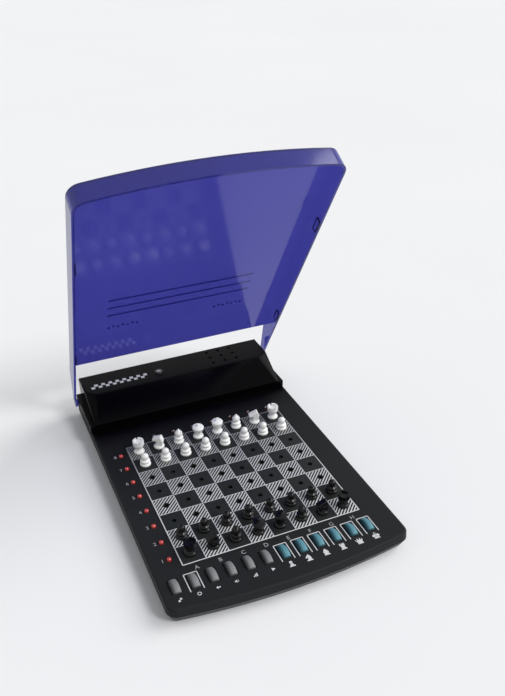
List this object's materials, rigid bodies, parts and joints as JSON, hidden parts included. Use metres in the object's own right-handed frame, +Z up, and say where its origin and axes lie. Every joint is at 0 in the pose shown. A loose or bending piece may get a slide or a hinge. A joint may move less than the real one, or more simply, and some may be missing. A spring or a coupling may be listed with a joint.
{
  "type": "electronic chess computer",
  "caption": "Flat travel chess computer: peg board with lights along two edges, a row of keys, a rear hump with speaker, and a hinged see-through lid over peg pieces.",
  "frame": {"origin": "middle of the case's footprint, on the surface that it stands on, at the centre of the middle foot", "axes": "+X to the player's right, +Y away from the player towards the hinge, +Z up from the table"},
  "size_m": [0.1516, 0.216, 0.2046],
  "materials": {
    "case_plastic": "fine grain",
    "cover_plastic": "smooth satin gloss",
    "board_plastic": "printed, satin",
    "membrane_film": "film",
    "board_laminate": "laminate",
    "mat_rubber": "matt",
    "led_red": "tinted lens",
    "speaker_steel": "painted",
    "cell_jacket": "printed sleeve",
    "contact_steel": "plated",
    "screw_steel": "plated",
    "foot_rubber": "matt",
    "lead_insulation": "insulation",
    "button_plastic": "satin",
    "key_grey": "satin",
    "key_teal": "satin",
    "piece_white": "matt",
    "piece_black": "gloss",
    "lid_clear": "transparent tint, polished"
  },
  "bodies": {
    "base": {"bottom_case": "case_plastic", "top_cover": "cover_plastic", "board_plate": "board_plastic", "sensor_membrane": "membrane_film", "circuit_board": "board_laminate", "keypad_mat": "mat_rubber", "indicator_leds": "led_red", "speaker": "speaker_steel", "batteries": "cell_jacket", "battery_contacts": "contact_steel", "case_screws": "screw_steel", "feet": "foot_rubber", "wiring": "lead_insulation"},
    "lid": {"lid": "lid_clear"},
    "battery_door": {"battery_door": "case_plastic"},
    "power_button": {"power_button": "button_plastic"},
    "key_setup": {"key_setup": "key_grey"},
    "key_new_game": {"key_new_game": "key_grey"},
    "key_take_back": {"key_take_back": "key_grey"},
    "key_sound": {"key_sound": "key_grey"},
    "key_level": {"key_level": "key_grey"},
    "key_play": {"key_play": "key_grey"},
    "key_pawn": {"key_pawn": "key_teal"},
    "key_knight": {"key_knight": "key_teal"},
    "key_bishop": {"key_bishop": "key_teal"},
    "key_rook": {"key_rook": "key_teal"},
    "key_queen": {"key_queen": "key_teal"},
    "key_king": {"key_king": "key_teal"},
    "white_rook_a": {"white_rook_a": "piece_white"},
    "white_knight_b": {"white_knight_b": "piece_white"},
    "white_bishop_c": {"white_bishop_c": "piece_white"},
    "white_queen": {"white_queen": "piece_white"},
    "white_king": {"white_king": "piece_white"},
    "white_bishop_f": {"white_bishop_f": "piece_white"},
    "white_knight_g": {"white_knight_g": "piece_white"},
    "white_rook_h": {"white_rook_h": "piece_white"},
    "white_pawn_a": {"white_pawn_a": "piece_white"},
    "white_pawn_b": {"white_pawn_b": "piece_white"},
    "white_pawn_c": {"white_pawn_c": "piece_white"},
    "white_pawn_d": {"white_pawn_d": "piece_white"},
    "white_pawn_e": {"white_pawn_e": "piece_white"},
    "white_pawn_f": {"white_pawn_f": "piece_white"},
    "white_pawn_g": {"white_pawn_g": "piece_white"},
    "white_pawn_h": {"white_pawn_h": "piece_white"},
    "black_rook_a": {"black_rook_a": "piece_black"},
    "black_knight_b": {"black_knight_b": "piece_black"},
    "black_bishop_c": {"black_bishop_c": "piece_black"},
    "black_queen": {"black_queen": "piece_black"},
    "black_king": {"black_king": "piece_black"},
    "black_bishop_f": {"black_bishop_f": "piece_black"},
    "black_knight_g": {"black_knight_g": "piece_black"},
    "black_rook_h": {"black_rook_h": "piece_black"},
    "black_pawn_a": {"black_pawn_a": "piece_black"},
    "black_pawn_b": {"black_pawn_b": "piece_black"},
    "black_pawn_c": {"black_pawn_c": "piece_black"},
    "black_pawn_d": {"black_pawn_d": "piece_black"},
    "black_pawn_e": {"black_pawn_e": "piece_black"},
    "black_pawn_f": {"black_pawn_f": "piece_black"},
    "black_pawn_g": {"black_pawn_g": "piece_black"},
    "black_pawn_h": {"black_pawn_h": "piece_black"}
  },
  "joints": [
    {"name": "lid_hinge", "type": "hinge", "parent": "base", "child": "lid", "pos_m": [0, 0.104, 0.013], "axis": [-1, 0, 0], "range_deg": [-60, 35]},
    {"name": "battery_door_slide", "type": "slide", "parent": "base", "child": "battery_door", "axis": [0, 1, 0], "range_m": [0, 0.03]},
    {"name": "power_button_press", "type": "slide", "parent": "base", "child": "power_button", "axis": [0, 0, -1], "range_m": [0, 0.0008], "stiffness_N_per_m": 300, "springref_m": -0.002},
    {"name": "key_setup_press", "type": "slide", "parent": "base", "child": "key_setup", "axis": [0, 0, -1], "range_m": [0, 0.001], "stiffness_N_per_m": 300, "springref_m": -0.002},
    {"name": "key_new_game_press", "type": "slide", "parent": "base", "child": "key_new_game", "axis": [0, 0, -1], "range_m": [0, 0.001], "stiffness_N_per_m": 300, "springref_m": -0.002},
    {"name": "key_take_back_press", "type": "slide", "parent": "base", "child": "key_take_back", "axis": [0, 0, -1], "range_m": [0, 0.001], "stiffness_N_per_m": 300, "springref_m": -0.002},
    {"name": "key_sound_press", "type": "slide", "parent": "base", "child": "key_sound", "axis": [0, 0, -1], "range_m": [0, 0.001], "stiffness_N_per_m": 300, "springref_m": -0.002},
    {"name": "key_level_press", "type": "slide", "parent": "base", "child": "key_level", "axis": [0, 0, -1], "range_m": [0, 0.001], "stiffness_N_per_m": 300, "springref_m": -0.002},
    {"name": "key_play_press", "type": "slide", "parent": "base", "child": "key_play", "axis": [0, 0, -1], "range_m": [0, 0.001], "stiffness_N_per_m": 300, "springref_m": -0.002},
    {"name": "key_pawn_press", "type": "slide", "parent": "base", "child": "key_pawn", "axis": [0, 0, -1], "range_m": [0, 0.001], "stiffness_N_per_m": 300, "springref_m": -0.002},
    {"name": "key_knight_press", "type": "slide", "parent": "base", "child": "key_knight", "axis": [0, 0, -1], "range_m": [0, 0.001], "stiffness_N_per_m": 300, "springref_m": -0.002},
    {"name": "key_bishop_press", "type": "slide", "parent": "base", "child": "key_bishop", "axis": [0, 0, -1], "range_m": [0, 0.001], "stiffness_N_per_m": 300, "springref_m": -0.002},
    {"name": "key_rook_press", "type": "slide", "parent": "base", "child": "key_rook", "axis": [0, 0, -1], "range_m": [0, 0.001], "stiffness_N_per_m": 300, "springref_m": -0.002},
    {"name": "key_queen_press", "type": "slide", "parent": "base", "child": "key_queen", "axis": [0, 0, -1], "range_m": [0, 0.001], "stiffness_N_per_m": 300, "springref_m": -0.002},
    {"name": "key_king_press", "type": "slide", "parent": "base", "child": "key_king", "axis": [0, 0, -1], "range_m": [0, 0.001], "stiffness_N_per_m": 300, "springref_m": -0.002},
    {"name": "white_rook_a_lift", "type": "slide", "parent": "base", "child": "white_rook_a", "axis": [0, 0, 1], "range_m": [0, 0.02]},
    {"name": "white_knight_b_lift", "type": "slide", "parent": "base", "child": "white_knight_b", "axis": [0, 0, 1], "range_m": [0, 0.02]},
    {"name": "white_bishop_c_lift", "type": "slide", "parent": "base", "child": "white_bishop_c", "axis": [0, 0, 1], "range_m": [0, 0.02]},
    {"name": "white_queen_lift", "type": "slide", "parent": "base", "child": "white_queen", "axis": [0, 0, 1], "range_m": [0, 0.02]},
    {"name": "white_king_lift", "type": "slide", "parent": "base", "child": "white_king", "axis": [0, 0, 1], "range_m": [0, 0.02]},
    {"name": "white_bishop_f_lift", "type": "slide", "parent": "base", "child": "white_bishop_f", "axis": [0, 0, 1], "range_m": [0, 0.02]},
    {"name": "white_knight_g_lift", "type": "slide", "parent": "base", "child": "white_knight_g", "axis": [0, 0, 1], "range_m": [0, 0.02]},
    {"name": "white_rook_h_lift", "type": "slide", "parent": "base", "child": "white_rook_h", "axis": [0, 0, 1], "range_m": [0, 0.02]},
    {"name": "white_pawn_a_lift", "type": "slide", "parent": "base", "child": "white_pawn_a", "axis": [0, 0, 1], "range_m": [0, 0.02]},
    {"name": "white_pawn_b_lift", "type": "slide", "parent": "base", "child": "white_pawn_b", "axis": [0, 0, 1], "range_m": [0, 0.02]},
    {"name": "white_pawn_c_lift", "type": "slide", "parent": "base", "child": "white_pawn_c", "axis": [0, 0, 1], "range_m": [0, 0.02]},
    {"name": "white_pawn_d_lift", "type": "slide", "parent": "base", "child": "white_pawn_d", "axis": [0, 0, 1], "range_m": [0, 0.02]},
    {"name": "white_pawn_e_lift", "type": "slide", "parent": "base", "child": "white_pawn_e", "axis": [0, 0, 1], "range_m": [0, 0.02]},
    {"name": "white_pawn_f_lift", "type": "slide", "parent": "base", "child": "white_pawn_f", "axis": [0, 0, 1], "range_m": [0, 0.02]},
    {"name": "white_pawn_g_lift", "type": "slide", "parent": "base", "child": "white_pawn_g", "axis": [0, 0, 1], "range_m": [0, 0.02]},
    {"name": "white_pawn_h_lift", "type": "slide", "parent": "base", "child": "white_pawn_h", "axis": [0, 0, 1], "range_m": [0, 0.02]},
    {"name": "black_rook_a_lift", "type": "slide", "parent": "base", "child": "black_rook_a", "axis": [0, 0, 1], "range_m": [0, 0.02]},
    {"name": "black_knight_b_lift", "type": "slide", "parent": "base", "child": "black_knight_b", "axis": [0, 0, 1], "range_m": [0, 0.02]},
    {"name": "black_bishop_c_lift", "type": "slide", "parent": "base", "child": "black_bishop_c", "axis": [0, 0, 1], "range_m": [0, 0.02]},
    {"name": "black_queen_lift", "type": "slide", "parent": "base", "child": "black_queen", "axis": [0, 0, 1], "range_m": [0, 0.02]},
    {"name": "black_king_lift", "type": "slide", "parent": "base", "child": "black_king", "axis": [0, 0, 1], "range_m": [0, 0.02]},
    {"name": "black_bishop_f_lift", "type": "slide", "parent": "base", "child": "black_bishop_f", "axis": [0, 0, 1], "range_m": [0, 0.02]},
    {"name": "black_knight_g_lift", "type": "slide", "parent": "base", "child": "black_knight_g", "axis": [0, 0, 1], "range_m": [0, 0.02]},
    {"name": "black_rook_h_lift", "type": "slide", "parent": "base", "child": "black_rook_h", "axis": [0, 0, 1], "range_m": [0, 0.02]},
    {"name": "black_pawn_a_lift", "type": "slide", "parent": "base", "child": "black_pawn_a", "axis": [0, 0, 1], "range_m": [0, 0.02]},
    {"name": "black_pawn_b_lift", "type": "slide", "parent": "base", "child": "black_pawn_b", "axis": [0, 0, 1], "range_m": [0, 0.02]},
    {"name": "black_pawn_c_lift", "type": "slide", "parent": "base", "child": "black_pawn_c", "axis": [0, 0, 1], "range_m": [0, 0.02]},
    {"name": "black_pawn_d_lift", "type": "slide", "parent": "base", "child": "black_pawn_d", "axis": [0, 0, 1], "range_m": [0, 0.02]},
    {"name": "black_pawn_e_lift", "type": "slide", "parent": "base", "child": "black_pawn_e", "axis": [0, 0, 1], "range_m": [0, 0.02]},
    {"name": "black_pawn_f_lift", "type": "slide", "parent": "base", "child": "black_pawn_f", "axis": [0, 0, 1], "range_m": [0, 0.02]},
    {"name": "black_pawn_g_lift", "type": "slide", "parent": "base", "child": "black_pawn_g", "axis": [0, 0, 1], "range_m": [0, 0.02]},
    {"name": "black_pawn_h_lift", "type": "slide", "parent": "base", "child": "black_pawn_h", "axis": [0, 0, 1], "range_m": [0, 0.02]}
  ]
}
